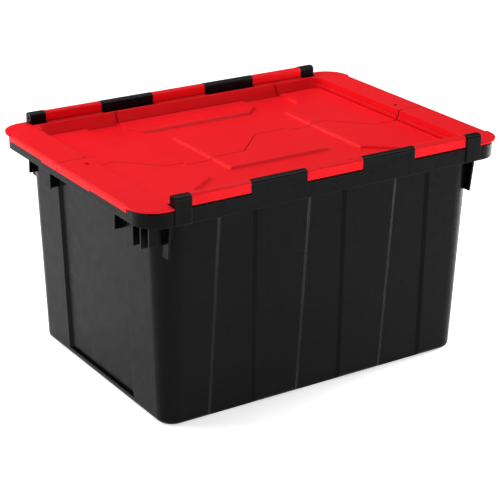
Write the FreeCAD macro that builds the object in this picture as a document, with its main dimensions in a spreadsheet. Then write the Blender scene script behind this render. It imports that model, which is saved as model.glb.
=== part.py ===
import FreeCAD, Part
import math
import os
import Sketcher
from FreeCAD import Placement, Rotation, Vector

# Attached lid tote: one moulded tub with an overhanging rim, two lid leaves whose edges interlock in a
# zig-zag, and two steel rods that pin the leaves to the tub. Millimetres, +Z up, the long side along X,
# origin at the middle of the base. The whole box is the same after half a turn about Z.

DIMENSIONS = {
    # tub
    "base_length": 463.8, "base_width": 338.8, "base_corner": 22.0, "wall": 2.8, "wall_lean": 0.041,
    "base_edge": 7.0, "flute_top": 282.0,
    # rim: a flange with a band turned down at its edge
    "rim_length": 543.4, "rim_width": 392.0, "rim_corner": 33.0, "rim_low": 280.0, "rim_top": 299.6,
    "rim_thick": 3.0, "band_thick": 2.6,
    # shallow flutes in the long walls and one panel in each end wall
    "flute_depth": 3.0, "flute_flank": 6.0, "panel_depth": 4.0, "panel_half": 89.0, "panel_low": 10.0,
    # hinge line
    "hinge_reach": 189.5, "hinge_height": 310.0, "knuckle_inner": 5.2, "knuckle_outer": 5.7, "knuckle_top": 317.0,
    "knuckle_round": 4.6, "lid_knuckle_low": 301.8,
    "rod_radius": 2.5, "rod_clearance": 0.06, "knuckle_gap": 0.5, "strap_end": 232.4,
    "strap_side": 209.3, "outer_knuckle": 124.4, "middle_knuckle": 42.7, "strap_proud": 1.8,
    "strap_low": 281.0, "rod_stop": 3.0, "rod_recess": 2.5, "tab_swing": 12.8,
    # gussets under the rim
    "gusset_thick": 2.6, "gusset_reach": 254.5,
    # lid plate
    "lid_top": 303.0, "lid_thick": 2.5, "lid_length": 555.0, "lid_width": 393.2, "lid_corner": 35.0,
    "lid_edge": 178.6, "lid_end": 276.2, "skirt_thick": 2.4, "skirt_low": 294.0, "skirt_half": 157.0,
    "grip_low": 292.0, "grip_half": 65.0, "shoulder": 2.6,
    # sunken middle of the lid
    "floor_top": 286.0, "floor_length": 458.0, "floor_width": 333.0, "step_height": 294.5,
    "step_length": 460.6, "step_width": 341.0, "recess_length": 466.0, "recess_width": 349.0,
    "step_in": 3.4, "recess_corner": 14.0, "panel_rise": 3.4, "bevel": 2.4,
    "slit_half": 1.6, "slit_depth": 1.6,
    # seam between the leaves
    "seam_gap": 1.1, "wall_gap": 2.6, "seal_radius": 3.2, "seal_reach": 244.2,
}

doc = FreeCAD.newDocument("tote")
sheet = doc.addObject("Spreadsheet::Sheet", "dims")
for row, (alias, size) in enumerate(DIMENSIONS.items(), start=1):
    sheet.set("A%d" % row, alias)
    sheet.set("B%d" % row, str(size))
    sheet.setAlias("B%d" % row, alias)
doc.recompute()


def dim(name):
    return float(sheet.get(name))


# ---- builders: every size is a sheet expression -----------------------------------------------------
def box(name, spans):
    """Part::Box from (low, high) expressions for X, Y and Z."""
    obj = doc.addObject("Part::Box", name)
    for axis, side, (low, high) in zip("xyz", ("Length", "Width", "Height"), spans):
        obj.setExpression(side, "(%s) - (%s)" % (high, low))
        obj.setExpression("Placement.Base." + axis, low)
    return obj


def mirrored(sign, low, high):
    """A span on the positive or the negative side of an axis."""
    return (low, high) if sign > 0 else ("-(%s)" % high, "-(%s)" % low)


def rod_along_x(name, span, radius, reach):
    obj = doc.addObject("Part::Cylinder", name)
    obj.Placement = Placement(Vector(0, 0, 0), Rotation(Vector(0, 1, 0), 90))
    obj.setExpression("Radius", radius)
    obj.setExpression("Height", "(%s) - (%s)" % (span[1], span[0]))
    obj.setExpression("Placement.Base.x", span[0])
    obj.setExpression("Placement.Base.y", reach)
    obj.setExpression("Placement.Base.z", "dims.hinge_height")
    return obj


def hinge_block(name, span, sy, inner, outer, low):
    """Block along a hinge line with its top edges rounded."""
    block = box(name + "_block", (span, mirrored(sy, inner, outer), (low, "dims.knuckle_top")))
    doc.recompute()
    rounded = doc.addObject("Part::Fillet", name)
    rounded.Base = block
    picked = []
    for number, line in enumerate(block.Shape.Edges, start=1):
        along_x = abs(line.BoundBox.XLength - line.Length) < 0.01
        if along_x and abs(line.CenterOfMass.z - dim("knuckle_top")) < 0.01:
            picked.append((number, dim("knuckle_round"), dim("knuckle_round")))
    rounded.Edges = picked
    return rounded


def fuse(name, parts):
    obj = doc.addObject("Part::MultiFuse", name)
    obj.Shapes = parts
    return obj


def common(name, parts):
    obj = doc.addObject("Part::MultiCommon", name)
    obj.Shapes = parts
    return obj


def cut(name, base, tool):
    obj = doc.addObject("Part::Cut", name)
    obj.Base = base
    obj.Tool = tool
    return obj


def new_sketch(body, name, height):
    """Sketch parallel to the body's XY plane at a height given as a sheet expression."""
    sketch = body.newObject("Sketcher::SketchObject", name)
    base = [f for f in body.Origin.OriginFeatures if f.Role == "XY_Plane"][0]
    sketch.AttachmentSupport = (base, [""])
    sketch.MapMode = "FlatFace"
    sketch.setExpression("AttachmentOffset.Base.z", height)
    return sketch


def rounded_rectangle(sketch, length, width, radius):
    """Constrained rounded rectangle centred on the sketch origin."""
    x, y, r = 100.0, 60.0, 10.0
    corners = [(x - r, y - r, 0), (r - x, y - r, 90), (r - x, r - y, 180), (x - r, r - y, 270)]
    sides = [((x - r, y), (r - x, y)), ((-x, y - r), (-x, r - y)),
             ((r - x, -y), (x - r, -y)), ((x, r - y), (x, y - r))]
    for (cx, cy, start), (low, high) in zip(corners, sides):
        circle = Part.Circle(Vector(cx, cy, 0), Vector(0, 0, 1), r)
        sketch.addGeometry(Part.ArcOfCircle(circle, math.radians(start), math.radians(start + 90)), False)
        sketch.addGeometry(Part.LineSegment(Vector(*low, 0), Vector(*high, 0)), False)
    for k in range(4):
        arc, line, after = 2 * k, 2 * k + 1, (2 * k + 2) % 8
        sketch.addConstraint(Sketcher.Constraint("Tangent", arc, 2, line, 1))
        sketch.addConstraint(Sketcher.Constraint("Tangent", line, 2, after, 1))
        sketch.addConstraint(Sketcher.Constraint("Vertical" if k % 2 else "Horizontal", line))
    for k in range(3):
        sketch.addConstraint(Sketcher.Constraint("Equal", 0, 2 * k + 2))
    sketch.addConstraint(Sketcher.Constraint("Symmetric", 0, 3, 4, 3, -1, 1))
    index = sketch.addConstraint(Sketcher.Constraint("DistanceX", 3, 1, 7, 1, 2 * x))
    sketch.setExpression("Constraints[%d]" % index, length)
    index = sketch.addConstraint(Sketcher.Constraint("DistanceY", 5, 1, 1, 1, 2 * y))
    sketch.setExpression("Constraints[%d]" % index, width)
    index = sketch.addConstraint(Sketcher.Constraint("Radius", 0, r))
    sketch.setExpression("Constraints[%d]" % index, radius)


def polygon(sketch, points):
    for k, start in enumerate(points):
        end = points[(k + 1) % len(points)]
        sketch.addGeometry(Part.LineSegment(Vector(*start, 0), Vector(*end, 0)), False)
        sketch.addConstraint(Sketcher.Constraint("Block", k))


def pad_rectangle(name, size, low, high):
    """Straight block with rounded corners; size is (length, width, corner radius)."""
    body = doc.addObject("PartDesign::Body", name)
    sketch = new_sketch(body, name + "_outline", low)
    rounded_rectangle(sketch, *size)
    pad = body.newObject("PartDesign::Pad", name + "_pad")
    pad.Profile = sketch
    pad.setExpression("Length", "(%s) - (%s)" % (high, low))
    return body


def drafted_block(name, size, low, high, edge):
    """Block whose sides lean out by the tub's draft, with its lower rim rounded."""
    body = doc.addObject("PartDesign::Body", name)
    sketch = new_sketch(body, name + "_outline", low)
    rounded_rectangle(sketch, *size)
    pad = body.newObject("PartDesign::Pad", name + "_pad")
    pad.Profile = sketch
    pad.setExpression("Length", "(%s) - (%s)" % (high, low))
    pad.setExpression("TaperAngle", "atan(dims.wall_lean)")
    doc.recompute()
    lowest = pad.Shape.BoundBox.ZMin
    picked = []
    for number, line in enumerate(pad.Shape.Edges, start=1):
        if line.BoundBox.ZMax < lowest + 0.01:
            picked.append("Edge%d" % number)
    rounding = body.newObject("PartDesign::Fillet", name + "_rounding")
    rounding.Base = (pad, picked)
    rounding.setExpression("Radius", edge)
    return body


def loft(name, draw_low, draw_high, low, high):
    """Body between two outlines."""
    body = doc.addObject("PartDesign::Body", name)
    lower = new_sketch(body, name + "_low", low)
    draw_low(lower)
    upper = new_sketch(body, name + "_high", high)
    draw_high(upper)
    skin = body.newObject("PartDesign::AdditiveLoft", name + "_loft")
    skin.Profile = lower
    skin.Sections = [upper]
    skin.Ruled = True
    return body


def loft_rectangles(name, size_low, size_high, low, high):
    return loft(name, lambda s: rounded_rectangle(s, *size_low), lambda s: rounded_rectangle(s, *size_high),
                low, high)


def loft_polygons(name, points_low, points_high, low, high):
    return loft(name, lambda s: polygon(s, points_low), lambda s: polygon(s, points_high), low, high)


def shifted(points, distance, closed=True):
    """Outline moved to its left by a distance, with mitred corners."""
    count = len(points)
    moved = []
    for k in range(count):
        here = Vector(*points[k], 0)
        before = Vector(*points[k - 1], 0) if closed or k else here * 2 - Vector(*points[1], 0)
        after = Vector(*points[(k + 1) % count], 0) if closed or k < count - 1 else here * 2 - before
        one = (here - before).normalize()
        two = (after - here).normalize()
        normal_one = Vector(-one.y, one.x, 0)
        normal_two = Vector(-two.y, two.x, 0)
        middle = (normal_one + normal_two).normalize()
        point = here + middle * (distance / middle.dot(normal_one))
        moved.append((point.x, point.y))
    return moved


def turned(points):
    """The same outline after half a turn about Z."""
    return [(-x, -y) for x, y in points]


# ---- tub --------------------------------------------------------------------------------------------
def wall_half(side, height):
    """Distance from the middle of the tub to the outside of a wall at a height."""
    return dim(side) / 2 + dim("wall_lean") * height


def groove(name, on_end, side, centre, half_low, half_high, depth, low, high, inset, wider):
    """Sloping-sided groove that follows a leaning wall; its outline is a trapezoid at each height."""
    flank = dim("flute_flank")
    outlines = []
    for height, half in ((low, half_low), (high, half_high)):
        outside = wall_half("base_length" if on_end else "base_width", height) - inset
        points = [(centre - half - wider - flank / 2, outside + depth / 2),
                  (centre - half - wider + flank, outside - depth),
                  (centre + half + wider - flank, outside - depth),
                  (centre + half + wider + flank / 2, outside + depth / 2)]
        if on_end:
            points = [(y, -x) for x, y in points]
        outlines.append(points if side > 0 else turned(points))
    return loft_polygons(name, outlines[0], outlines[1], "%r" % low, "%r" % high)


FLUTES = ((-134.0, 36.2, 28.9), (0.0, 36.6, 29.6), (134.0, 36.2, 28.9))


def wall_grooves(name, inset, wider, flute_high, panel_high):
    parts = []
    for side in (-1, 1):
        for number, (centre, half_low, half_high) in enumerate(FLUTES):
            parts.append(groove("%s_flute_%d_%d" % (name, side + 1, number), False, side, centre, half_low,
                                half_high, dim("flute_depth"), -1.0, flute_high, inset, wider))
        parts.append(groove("%s_end_%d" % (name, side + 1), True, side, 0.0, dim("panel_half"),
                            dim("panel_half"), dim("panel_depth"), dim("panel_low"), panel_high, inset, wider))
    return fuse(name, parts)


outside = ("dims.base_length", "dims.base_width", "dims.base_corner")
tub_block = drafted_block("tub_block", outside, "0", "dims.rim_top", "dims.base_edge")
outer_grooves = wall_grooves("outer_grooves", 0.0, 0.0, dim("flute_top"), dim("rim_top") - dim("rim_thick"))
fluted = cut("fluted", tub_block, outer_grooves)

inside = ("dims.base_length - 2 * dims.wall", "dims.base_width - 2 * dims.wall", "dims.base_corner - dims.wall")
cavity_block = drafted_block("cavity_block", inside, "dims.wall", "dims.rim_top + 1", "dims.base_edge - dims.wall")
inner_grooves = wall_grooves("inner_grooves", dim("wall"), 1.2, dim("flute_top") + dim("wall"), dim("rim_top") + 2)
cavity = cut("cavity", cavity_block, inner_grooves)

rim_size = ("dims.rim_length", "dims.rim_width", "dims.rim_corner")
rim_block = pad_rectangle("rim_block", rim_size, "dims.rim_low", "dims.rim_top")
rim_hollow = pad_rectangle("rim_hollow", ("dims.rim_length - 2 * dims.band_thick",
                                          "dims.rim_width - 2 * dims.band_thick",
                                          "dims.rim_corner - dims.band_thick"),
                           "dims.rim_low - 1", "dims.rim_top - dims.rim_thick")
rim = cut("rim", rim_block, rim_hollow)

# solid pads in the rim corners, which the swing of the lid's corner tabs is cut into
corner_boxes = []
for sx in (-1, 1):
    for sy in (-1, 1):
        corner_boxes.append(box("corner_box_%d_%d" % (sx + 1, sy + 1), (
            mirrored(sx, "dims.strap_end", "dims.rim_length / 2"),
            mirrored(sy, "dims.hinge_reach - dims.tab_swing - 2", "dims.rim_width / 2"),
            ("dims.rim_top - 7", "dims.rim_top"))))
rim_outline = pad_rectangle("rim_outline", rim_size, "dims.rim_low", "dims.rim_top")
rim_corners = common("rim_corners", [fuse("corner_boxes", corner_boxes), rim_outline])

# gussets: plates that hang under the rim at both ends and at the corners
gussets = []


def end_plate(name, sx, sy, reach, low, start):
    """Plate across the gap between an end wall and the rim band."""
    gussets.append(box(name, (
        mirrored(sx, "%r" % start, "dims.gusset_reach"),
        mirrored(sy, "%r - dims.gusset_thick / 2" % reach, "%r + dims.gusset_thick / 2" % reach),
        ("%r" % low, "dims.rim_top - 1"))))


def side_plate(name, sx, sy, reach, span, low):
    """Plate that runs along the width of the tub."""
    gussets.append(box(name, (
        mirrored(sx, "%r - dims.gusset_thick / 2" % reach, "%r + dims.gusset_thick / 2" % reach),
        mirrored(sy, "%r" % span[0], "%r" % span[1]), ("%r" % low, "dims.rim_top - 1"))))


def tapered_plate(name, sx, sy):
    """Plate under the strap that narrows downwards."""
    near, far = sx * 231.1, sx * 233.7
    outlines = []
    for outer in (180.8, 188.8):
        outlines.append([(near, sy * 158.0), (far, sy * 158.0), (far, sy * outer), (near, sy * outer)])
    gussets.append(loft_polygons(name, outlines[0], outlines[1], "233.0", "dims.rim_top - 1"))


for sx in (-1, 1):
    for sy in (-1, 1):
        tag = "%d_%d" % (sx + 1, sy + 1)
        end_plate("grip_gusset_" + tag, sx, sy, 87.3, 246.0, 238.0)
        tapered_plate("corner_gusset_" + tag, sx, sy)
        if sx * sy > 0:
            end_plate("corner_plate_a_" + tag, sx, sy, 133.0, 240.0, 238.0)
            end_plate("corner_plate_b_" + tag, sx, sy, 152.0, 242.0, 234.0)
            end_plate("corner_plate_c_" + tag, sx, sy, 172.0, 250.0, 226.0)
        else:
            end_plate("pocket_plate_" + tag, sx, sy, 118.0, 243.0, 238.0)
            side_plate("pocket_face_" + tag, sx, sy, 253.2, (87.0, 118.0), 244.0)
            end_plate("corner_plate_" + tag, sx, sy, 147.5, 249.0, 236.0)

# hinge knuckles of the tub: two long ones and a strap at each end of each long side
tub_knuckles = []
for sy in (-1, 1):
    for sx in (-1, 1):
        tag = "%d_%d" % (sx + 1, sy + 1)
        inner = "dims.hinge_reach - dims.knuckle_inner"
        span = mirrored(sx, "dims.middle_knuckle + dims.knuckle_gap / 2", "dims.outer_knuckle - dims.knuckle_gap / 2")
        tub_knuckles.append(hinge_block("knuckle_" + tag, span, sy, inner, "dims.rim_width / 2", "dims.rim_top - 1"))
        span = mirrored(sx, "dims.strap_side + dims.knuckle_gap / 2", "dims.strap_end")
        outer = "dims.rim_width / 2 + dims.strap_proud"
        tub_knuckles.append(hinge_block("strap_eye_" + tag, span, sy, inner, outer, "dims.rim_top - 1"))
        tub_knuckles.append(box("strap_" + tag, (
            span, mirrored(sy, "dims.rim_width / 2 - 1", outer), ("dims.strap_low", "dims.hinge_height"))))

# rod bores run the length of a hinge line and stop inside the last strap
bores = []
swings = []
for sy in (-1, 1):
    blind = "dims.strap_end - dims.rod_stop"
    span = ("-(%s)" % blind, "dims.strap_end + 1") if sy < 0 else ("-(dims.strap_end + 1)", blind)
    reach = "%d * dims.hinge_reach" % sy
    bores.append(rod_along_x("bore_%d" % (sy + 1), span, "dims.rod_radius + dims.rod_clearance", reach))
    for sx in (-1, 1):
        span = mirrored(sx, "dims.strap_end + 0.01", "dims.rim_length / 2 + 1")
        swings.append(rod_along_x("tab_swing_%d_%d" % (sx + 1, sy + 1), span, "dims.tab_swing", reach))


def seal_holes(name):
    """One hole for a security seal at each end, on the middle line."""
    holes = []
    for sx in (-1, 1):
        hole = doc.addObject("Part::Cylinder", "%s_%d" % (name, sx + 1))
        hole.setExpression("Radius", "dims.seal_radius")
        hole.setExpression("Height", "dims.lid_top - dims.rim_low")
        hole.setExpression("Placement.Base.x", "%d * dims.seal_reach" % sx)
        hole.setExpression("Placement.Base.z", "dims.rim_low + 1")
        holes.append(hole)
    return holes


tub_solid = fuse("tub_solid", [fluted, rim, rim_corners] + gussets + tub_knuckles)
tub_tools = fuse("tub_tools", [cavity] + bores + swings + seal_holes("rim_hole"))
tote_body = cut("tote_body", tub_solid, tub_tools)

# ---- lid: drawn whole, then split along the seam ----------------------------------------------------
plate_size = ("dims.lid_length", "dims.lid_width", "dims.lid_corner")
plate = pad_rectangle("plate", plate_size, "dims.lid_top - dims.lid_thick", "dims.lid_top")

floor_size = ("dims.floor_length", "dims.floor_width", "dims.recess_corner")
step_size = ("dims.step_length", "dims.step_width", "dims.recess_corner")
ledge_size = ("dims.step_length + dims.step_in", "dims.step_width", "dims.recess_corner")
recess_size = ("dims.recess_length", "dims.recess_width", "dims.recess_corner + 2")
pan_low = loft_rectangles("pan_low", floor_size, step_size, "dims.floor_top", "dims.step_height")
pan_high = loft_rectangles("pan_high", ledge_size, recess_size, "dims.step_height - 0.01", "dims.lid_top + 0.01")
pan_hollow = fuse("pan_hollow", [pan_low, pan_high])
pan_skin = "2 * dims.lid_thick"
pan_floor_size = ("dims.floor_length + " + pan_skin, "dims.floor_width + " + pan_skin,
                  "dims.recess_corner + dims.lid_thick")
pan_top_size = ("dims.recess_length + " + pan_skin, "dims.recess_width + " + pan_skin,
                "dims.recess_corner + 2 + dims.lid_thick")
pan_block = loft_rectangles("pan_block", pan_floor_size, pan_top_size, "dims.floor_top - dims.lid_thick",
                            "dims.lid_top - 0.5")

# raised areas of the lid floor: centre panel, one at each end, and one against each long wall
CENTRE = [(-77.5, -73.6), (77.5, -73.6), (77.5, 73.6), (-77.5, 73.6)]
END = [(116.0, -90.0), (156.0, -119.5), (157.5, -121.5), (157.5, -168.0), (230.5, -168.0), (230.5, 168.0),
       (157.5, 168.0), (157.5, 121.5), (156.0, 119.5), (116.0, 90.0)]
REAR = [(-96.0, 113.2), (75.5, 113.2), (97.3, 134.5), (97.3, 168.0), (-113.3, 168.0), (-113.3, 139.8)]
RAISED = (CENTRE, END, turned(END), REAR, turned(REAR))

raised = []
hollows = []
for number, outline in enumerate(RAISED):
    bevel, rise = dim("bevel"), dim("panel_rise")
    foot = shifted(outline, -bevel / rise)
    raised.append(loft_polygons("raised_%d" % number, foot, shifted(outline, bevel), "dims.floor_top - 1",
                                "dims.floor_top + dims.panel_rise"))
    inner = [(min(max(x, -226.0), 226.0), min(max(y, -164.0), 164.0)) for x, y in outline]
    hollow_low = shifted(inner, 1.6)
    hollow_high = shifted(inner, 1.6 + bevel * (rise + 1) / rise)
    hollows.append(loft_polygons("hollow_%d" % number, hollow_low, hollow_high,
                                 "dims.floor_top - dims.lid_thick - 1",
                                 "dims.floor_top + dims.panel_rise - dims.lid_thick"))

# upright grooves in the long walls
SLITS = (-109.0, 156.0)

# rounded shoulder and skirt along both ends, deeper in the middle where a hand lifts the leaf
skirts = []
plate_trims = []
for sx in (-1, 1):
    inner = "dims.lid_end - dims.skirt_thick"
    for name, half, low in (("skirt", "dims.skirt_half", "dims.skirt_low"), ("grip", "dims.grip_half", "dims.grip_low")):
        block = box("%s_block_%d" % (name, sx + 1), (mirrored(sx, "dims.lid_end - 14", "dims.lid_end"),
                                                      ("-" + half, half), (low, "dims.lid_top")))
        doc.recompute()
        rounded = doc.addObject("Part::Fillet", "%s_round_%d" % (name, sx + 1))
        rounded.Base = block
        for number, line in enumerate(block.Shape.Edges, start=1):
            middle = line.CenterOfMass
            if abs(middle.z - dim("lid_top")) < 0.01 and abs(abs(middle.x) - dim("lid_end")) < 0.01:
                rounded.Edges = [(number, dim("shoulder"), dim("shoulder"))]
        space = box("%s_space_%d" % (name, sx + 1), (mirrored(sx, "dims.lid_end - 15", inner),
                                                      ("-%s - 1" % half, half + " + 1"),
                                                      (low + " - 1", "dims.lid_top - dims.lid_thick")))
        skirts.append(cut("%s_%d" % (name, sx + 1), rounded, space))
    plate_trims.append(box("end_trim_%d" % (sx + 1), (
        mirrored(sx, "dims.lid_end - 6", "dims.lid_length / 2 + 1"), ("-dims.skirt_half", "dims.skirt_half"),
        ("dims.lid_top - dims.lid_thick - 1", "dims.lid_top + 1"))))

# the plate stops short of the tub's knuckles
for sy in (-1, 1):
    plate_trims.append(box("side_trim_%d" % (sy + 1), (
        ("-(dims.strap_end + dims.knuckle_gap)", "dims.strap_end + dims.knuckle_gap"),
        mirrored(sy, "dims.lid_edge", "dims.lid_width / 2 + 1"),
        ("dims.lid_top - dims.lid_thick - 1", "dims.lid_top + 1"))))

# lid knuckles: one across the middle and one each side of it on both long sides
lid_knuckles = []
for sy in (-1, 1):
    outer = ("dims.outer_knuckle + dims.knuckle_gap / 2", "dims.strap_side - dims.knuckle_gap / 2")
    middle = "dims.middle_knuckle - dims.knuckle_gap / 2"
    for number, span in enumerate((mirrored(-1, *outer), ("-(%s)" % middle, middle), outer)):
        tag = "%d_%d" % (sy + 1, number)
        lid_knuckles.append(hinge_block("lid_knuckle_" + tag, span, sy, "dims.hinge_reach - dims.knuckle_inner",
                                        "dims.hinge_reach + dims.knuckle_outer", "dims.lid_knuckle_low"))
        lid_knuckles.append(box("lid_neck_" + tag, (
            span, mirrored(sy, "dims.lid_edge - 1", "dims.hinge_reach"),
            ("dims.lid_top - dims.lid_thick", "dims.lid_top + 0.5"))))

lid_bores = []
for sy in (-1, 1):
    reach = "%d * dims.hinge_reach" % sy
    lid_bores.append(rod_along_x("lid_bore_%d" % (sy + 1), ("-dims.strap_end", "dims.strap_end"),
                                 "dims.rod_radius + dims.rod_clearance", reach))

slits = []
for sy in (-1, 1):
    for number, place in enumerate(SLITS):
        outlines = []
        for width in ("floor_width", "recess_width"):
            outer = dim(width) / 2 + dim("slit_depth")
            outline = [(place - dim("slit_half"), outer - 10), (place + dim("slit_half"), outer - 10),
                       (place + dim("slit_half"), outer), (place - dim("slit_half"), outer)]
            outlines.append(outline if sy > 0 else turned(outline))
        slits.append(loft_polygons("slit_%d_%d" % (sy + 1, number), outlines[0], outlines[1],
                                   "dims.floor_top", "dims.lid_top"))

# seam: runs along X at each end, then crosses the lid in a zig-zag
HALF_SEAM = [(0.0, 0.0), (25.4, 26.0), (141.5, 26.0), (192.0, -22.6), (300.0, -22.6)]
SEAM = turned(HALF_SEAM)[:0:-1] + HALF_SEAM[1:]
wall_slots = []
for sx in (-1, 1):
    place = -sx * 22.6
    wall_slots.append(box("wall_slot_%d" % (sx + 1), (
        mirrored(sx, "223", "238.5"), ("%r - dims.wall_gap / 2" % place, "%r + dims.wall_gap / 2" % place),
        ("dims.floor_top - 4", "dims.lid_top + 1"))))

trimmed_plate = cut("trimmed_plate", plate, fuse("plate_trims", plate_trims))
lid_shell = cut("lid_shell", fuse("lid_outside", [trimmed_plate, pan_block] + skirts + lid_knuckles), pan_hollow)
lid_raised = fuse("lid_raised", [lid_shell] + raised)
lid_tools = fuse("lid_tools", hollows + lid_bores + slits + wall_slots + seal_holes("lid_hole"))
whole_lid = cut("whole_lid", lid_raised, lid_tools)


def half_space(name, side):
    """Everything on one side of the seam, half a gap away from it."""
    line = shifted(SEAM, side * dim("seam_gap") / 2, closed=False)
    far = side * 260.0
    body = doc.addObject("PartDesign::Body", name)
    sketch = new_sketch(body, name + "_outline", "dims.floor_top - 10")
    polygon(sketch, line + [(320.0, line[-1][1]), (320.0, far), (-320.0, far), (-320.0, line[0][1])])
    pad = body.newObject("PartDesign::Pad", name + "_pad")
    pad.Profile = sketch
    pad.setExpression("Length", "dims.knuckle_top - dims.floor_top + 20")
    return body


lid_leaf_front = common("lid_leaf_front", [whole_lid, half_space("front_half", -1)])
lid_leaf_rear = common("lid_leaf_rear", [whole_lid, half_space("rear_half", 1)])

# ---- hinge rods -------------------------------------------------------------------------------------
rods = []
for sy, name in ((-1, "hinge_rod_front"), (1, "hinge_rod_rear")):
    short = "dims.strap_end - dims.rod_stop - 0.3"
    long = "dims.strap_end - dims.rod_recess"
    span = ("-(%s)" % short, long) if sy < 0 else ("-(%s)" % long, short)
    rods.append(rod_along_x(name, span, "dims.rod_radius", "%d * dims.hinge_reach" % sy))

# ---- build and export -------------------------------------------------------------------------------
doc.recompute()
os.makedirs("parts", exist_ok=True)
for obj in doc.Objects:
    if "Invalid" in obj.State or "Error" in obj.State:
        raise RuntimeError("%s did not build: %s" % (obj.Name, obj.State))
for obj in [tote_body, lid_leaf_front, lid_leaf_rear] + rods:
    shape = obj.Shape
    if shape.isNull() or not shape.isValid():
        raise RuntimeError("%s has no valid shape" % obj.Name)
    if len(shape.Solids) != 1:
        raise RuntimeError("%s has %d solids" % (obj.Name, len(shape.Solids)))
    shape.exportStep("parts/%s.step" % obj.Name)
    size = shape.BoundBox
    print("%-16s %6d faces  x %.1f..%.1f  y %.1f..%.1f  z %.1f..%.1f" % (
        obj.Name, len(shape.Faces), size.XMin, size.XMax, size.YMin, size.YMax, size.ZMin, size.ZMax))
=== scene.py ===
import math

import bpy
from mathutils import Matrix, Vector

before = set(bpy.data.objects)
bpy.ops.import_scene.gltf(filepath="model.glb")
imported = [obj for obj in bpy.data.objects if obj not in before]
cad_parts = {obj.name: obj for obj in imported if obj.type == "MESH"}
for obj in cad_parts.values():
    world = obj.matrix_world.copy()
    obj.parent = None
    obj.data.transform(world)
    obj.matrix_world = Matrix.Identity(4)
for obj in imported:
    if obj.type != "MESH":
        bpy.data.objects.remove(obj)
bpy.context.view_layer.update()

WHITE = (1.0, 1.0, 1.0, 1.0)


def add_to_scene(thing):
    bpy.context.scene.collection.objects.link(thing)


# ---- camera: the photograph's viewing angle -----------------------------------------------------
AZIMUTH = math.radians(-33.292)
ELEVATION = math.radians(21.969)
ROLL = math.radians(0.638)
DISTANCE = 2.26972
TARGET = Vector((0.002145, 0.0, 0.133956))
LENS_MM = 119.2
SENSOR_MM = 36.0

camera_data = bpy.data.cameras.new("camera")
camera_data.lens = LENS_MM
camera_data.sensor_width = SENSOR_MM
camera = bpy.data.objects.new("camera", camera_data)
back = Vector((math.sin(AZIMUTH) * math.cos(ELEVATION), -math.cos(AZIMUTH) * math.cos(ELEVATION),
               math.sin(ELEVATION)))
camera.location = TARGET + back * DISTANCE
camera.rotation_euler = (-back).to_track_quat("-Z", "Y").to_euler("XYZ")
camera.rotation_euler.rotate_axis("Z", ROLL)
add_to_scene(camera)
bpy.context.scene.camera = camera


# ---- material helpers: lengths are metres -------------------------------------------------------
MIX_FIRST_COLOUR = 6
MIX_SECOND_COLOUR = 7
MIX_RESULT_COLOUR = 2
BEVEL_SAMPLES = 4
OCCLUSION_SAMPLES = 8
SOFT_EDGE_RADIUS = 0.0009


def new_material(name, colour, roughness, specular):
    material = bpy.data.materials.new(name)
    material.use_nodes = True
    shader = material.node_tree.nodes["Principled BSDF"]
    shader.inputs["Base Color"].default_value = (*colour, 1.0)
    shader.inputs["Roughness"].default_value = roughness
    shader.inputs["Specular IOR Level"].default_value = specular
    return material, material.node_tree, shader


def noise(tree, scale, detail, stretch=(1.0, 1.0, 1.0)):
    """Noise in the object's own coordinates; scale is in cycles per metre."""
    place = tree.nodes.new("ShaderNodeTexCoord")
    mapping = tree.nodes.new("ShaderNodeMapping")
    mapping.inputs["Scale"].default_value = stretch
    tree.links.new(place.outputs["Object"], mapping.inputs["Vector"])
    pattern = tree.nodes.new("ShaderNodeTexNoise")
    pattern.inputs["Scale"].default_value = scale
    pattern.inputs["Detail"].default_value = detail
    tree.links.new(mapping.outputs["Vector"], pattern.inputs["Vector"])
    return pattern.outputs["Fac"]


def spread(tree, value, source, target):
    """Maps the (start, end) pair source onto the pair target, clamped at both ends."""
    node = tree.nodes.new("ShaderNodeMapRange")
    node.inputs["From Min"].default_value, node.inputs["From Max"].default_value = source
    node.inputs["To Min"].default_value, node.inputs["To Max"].default_value = target
    tree.links.new(value, node.inputs["Value"])
    return node.outputs["Result"]


def mix_colours(tree, factor, first, second):
    """The first colour where factor is 0 and the second where it is 1; each a tuple or a socket."""
    node = tree.nodes.new("ShaderNodeMix")
    node.data_type = "RGBA"
    tree.links.new(factor, node.inputs["Factor"])
    for index, colour in ((MIX_FIRST_COLOUR, first), (MIX_SECOND_COLOUR, second)):
        if isinstance(colour, tuple):
            node.inputs[index].default_value = (*colour, 1.0)
        else:
            tree.links.new(colour, node.inputs[index])
    return node.outputs[MIX_RESULT_COLOUR]


def rounded_normal(tree, radius):
    """The surface normal with edges rounded over by radius."""
    node = tree.nodes.new("ShaderNodeBevel")
    node.samples = BEVEL_SAMPLES
    node.inputs["Radius"].default_value = radius
    return node.outputs["Normal"]


def add_bump(tree, shader, layers):
    """Softened edges, then bump from (height, strength, distance) layers in turn."""
    normal = rounded_normal(tree, SOFT_EDGE_RADIUS)
    for height, strength, distance in layers:
        node = tree.nodes.new("ShaderNodeBump")
        node.inputs["Strength"].default_value = strength
        node.inputs["Distance"].default_value = distance
        tree.links.new(height, node.inputs["Height"])
        tree.links.new(normal, node.inputs["Normal"])
        normal = node.outputs["Normal"]
    tree.links.new(normal, shader.inputs["Normal"])


def edge_highlight_mask(tree, radius, flat, sharp, most):
    """Painted highlight mask: 0 on flats, rising to most on sharp edges, where a rounded normal leans
    away from the true one.

    flat and sharp are the cosines of that lean at which the painted highlight starts and is complete.
    """
    surface = tree.nodes.new("ShaderNodeNewGeometry")
    dot = tree.nodes.new("ShaderNodeVectorMath")
    dot.operation = "DOT_PRODUCT"
    tree.links.new(rounded_normal(tree, radius), dot.inputs[0])
    tree.links.new(surface.outputs["Normal"], dot.inputs[1])
    return spread(tree, dot.outputs["Value"], (flat, sharp), (0.0, most))


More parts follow.
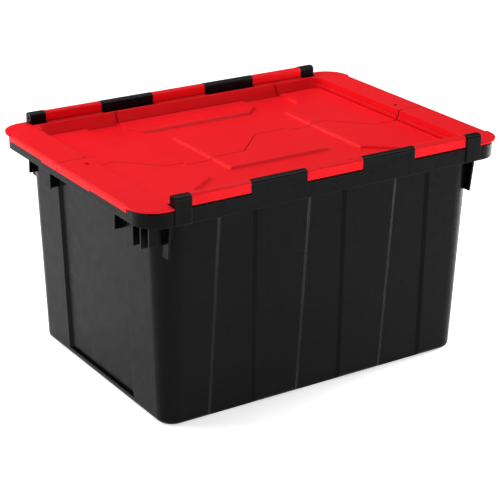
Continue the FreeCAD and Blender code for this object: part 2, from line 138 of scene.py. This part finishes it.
def hollow_shade_mask(tree, reach, closed, open_air, most):
    """Painted shade: 0 on open surface, rising to most in grooves and inner corners narrower than
    reach.

    closed and open_air are the shares of open space at which it is complete and at which it starts.
    """
    node = tree.nodes.new("ShaderNodeAmbientOcclusion")
    node.samples = OCCLUSION_SAMPLES
    node.inputs["Distance"].default_value = reach
    return spread(tree, node.outputs["AO"], (closed, open_air), (most, 0.0))


# ---- materials ----------------------------------------------------------------------------------
def moulded_plastic(name, colour, lighter, hollow_shade_colour, edge_highlight_colour, roughness, specular):
    """Moulded polypropylene: spark grain, scuffs, faint flow marks, paler edges as painted highlight,
    darker hollows as painted shade.
    """
    material, tree, shader = new_material(name, colour, roughness, specular)
    flow = spread(tree, noise(tree, scale=9.0, detail=3.0), (0.35, 0.65), (0.0, 0.35))
    # painted highlight: sharp edges turn paler, standing in for light caught on their rounding
    painted_edge_highlight = edge_highlight_mask(tree, radius=0.0012, flat=0.985, sharp=0.90, most=0.55)
    # painted shade: grooves and inner corners turn darker, where shade falls
    shade = hollow_shade_mask(tree, reach=0.004, closed=0.40, open_air=0.85, most=0.80)
    base = mix_colours(tree, flow, colour, lighter)
    base = mix_colours(tree, painted_edge_highlight, base, edge_highlight_colour)
    base = mix_colours(tree, shade, base, hollow_shade_colour)
    tree.links.new(base, shader.inputs["Base Color"])
    haze = noise(tree, scale=60.0, detail=4.0)
    rough = spread(tree, haze, (0.3, 0.7), (roughness - 0.05, roughness + 0.07))
    tree.links.new(rough, shader.inputs["Roughness"])
    scuffs = noise(tree, scale=35.0, detail=6.0, stretch=(1.0, 1.0, 14.0))
    grain = noise(tree, scale=2600.0, detail=2.0)
    add_bump(tree, shader, ((scuffs, 0.05, 0.0004), (grain, 0.12, 0.00008)))
    return material


def drawn_steel():
    """Bare wire with fine marks along X, the way it was drawn."""
    material, tree, shader = new_material("steel", (0.52, 0.52, 0.54), roughness=0.3, specular=0.5)
    shader.inputs["Metallic"].default_value = 1.0
    drawn = noise(tree, scale=900.0, detail=3.0, stretch=(0.02, 1.0, 1.0))
    tree.links.new(spread(tree, drawn, (0.3, 0.7), (0.24, 0.42)), shader.inputs["Roughness"])
    add_bump(tree, shader, ((drawn, 0.1, 0.00005),))
    return material


black = moulded_plastic(
    "black_plastic",
    colour=(0.0026, 0.0026, 0.0028),
    lighter=(0.0050, 0.0050, 0.0054),
    # painted shade colour for grooves and inner corners
    hollow_shade_colour=(0.0010, 0.0010, 0.0011),
    # painted highlight colour for sharp edges
    edge_highlight_colour=(0.045, 0.045, 0.047),
    roughness=0.30,
    specular=0.07,
)
red = moulded_plastic(
    "red_plastic",
    colour=(0.90, 0.006, 0.012),
    lighter=(0.94, 0.012, 0.020),
    # painted shade colour for grooves and inner corners
    hollow_shade_colour=(0.30, 0.002, 0.004),
    # painted highlight colour for sharp edges
    edge_highlight_colour=(0.98, 0.055, 0.065),
    roughness=0.36,
    specular=0.06,
)
steel = drawn_steel()

LOOKS = {
    "tote_body": black,
    "lid_leaf_front": red,
    "lid_leaf_rear": red,
    "hinge_rod_front": steel,
    "hinge_rod_rear": steel,
}
for name, material in LOOKS.items():
    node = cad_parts[name]
    node.data.materials.clear()
    node.data.materials.append(material)

# ---- floor --------------------------------------------------------------------------------------
FLOOR_REACH = 12.0
FLOOR_GLOW = 0.60

floor_mesh = bpy.data.meshes.new("floor")
floor_corners = [(-FLOOR_REACH, -FLOOR_REACH, 0), (FLOOR_REACH, -FLOOR_REACH, 0),
                 (FLOOR_REACH, FLOOR_REACH, 0), (-FLOOR_REACH, FLOOR_REACH, 0)]
floor_mesh.from_pydata(floor_corners, [], [(0, 1, 2, 3)])
floor = bpy.data.objects.new("floor", floor_mesh)
add_to_scene(floor)
floor_material, _, floor_shader = new_material("floor", (0.8, 0.8, 0.8), roughness=0.9, specular=0.1)
floor_shader.inputs["Emission Color"].default_value = WHITE
floor_shader.inputs["Emission Strength"].default_value = FLOOR_GLOW
floor_mesh.materials.append(floor_material)

# ---- light: soft boxes around the tote, sizes in metres and power in watts ----------------------
MIDDLE = (0.0, 0.0, 0.15)
RIGHT_FOOT = (0.3, -0.22, 0.0)


def area_light(name, place, size, power, aim_at=MIDDLE, spread_angle=180.0):
    data = bpy.data.lights.new(name, "AREA")
    data.shape = "RECTANGLE"
    data.size, data.size_y = size
    data.energy = power
    data.spread = math.radians(spread_angle)
    lamp = bpy.data.objects.new(name, data)
    lamp.location = place
    lamp.rotation_euler = (Vector(aim_at) - Vector(place)).to_track_quat("-Z", "Y").to_euler()
    add_to_scene(lamp)
    return lamp


area_light("key_softbox", place=(-2.0, 1.3, 1.6), size=(1.3, 1.3), power=44.0)
area_light("top_softbox", place=(0.5, 0.9, 2.2), size=(1.1, 1.1), power=18.0)
area_light("low_front_strip", place=(1.1, -2.3, 0.2), size=(1.8, 0.3), power=18.0)
area_light("front_fill", place=(0.0, -2.4, 1.5), size=(2.2, 1.4), power=4.0)
# The glint box shows only as a reflection, on the rounded tops and the bevels that face the front.
glint = area_light("glint_softbox", place=(1.12, -0.77, 1.95), size=(0.9, 0.9), power=20.0)
glint.visible_diffuse = False
area_light("rear_softbox", place=(-0.95, 2.05, 1.45), size=(0.9, 0.9), power=9.0)
area_light("right_pool", place=(1.25, -0.12, 0.26), size=(0.2, 0.25), power=11.0,
           aim_at=RIGHT_FOOT, spread_angle=120.0)

# The sky is dim up to SKY_SLOPE's first height and brightens towards the zenith.
SKY_SLOPE = (0.40, 0.95)
SKY_STRENGTH = (0.15, 0.42)

world = bpy.data.worlds.new("world")
bpy.context.scene.world = world
world.use_nodes = True
sky = world.node_tree
direction = sky.nodes.new("ShaderNodeTexCoord")
axes = sky.nodes.new("ShaderNodeSeparateXYZ")
sky.links.new(direction.outputs["Generated"], axes.inputs[0])
level = spread(sky, axes.outputs["Z"], SKY_SLOPE, SKY_STRENGTH)
sky.links.new(level, sky.nodes["Background"].inputs["Strength"])
sky.nodes["Background"].inputs["Color"].default_value = WHITE
bpy.context.scene.view_settings.view_transform = "Standard"
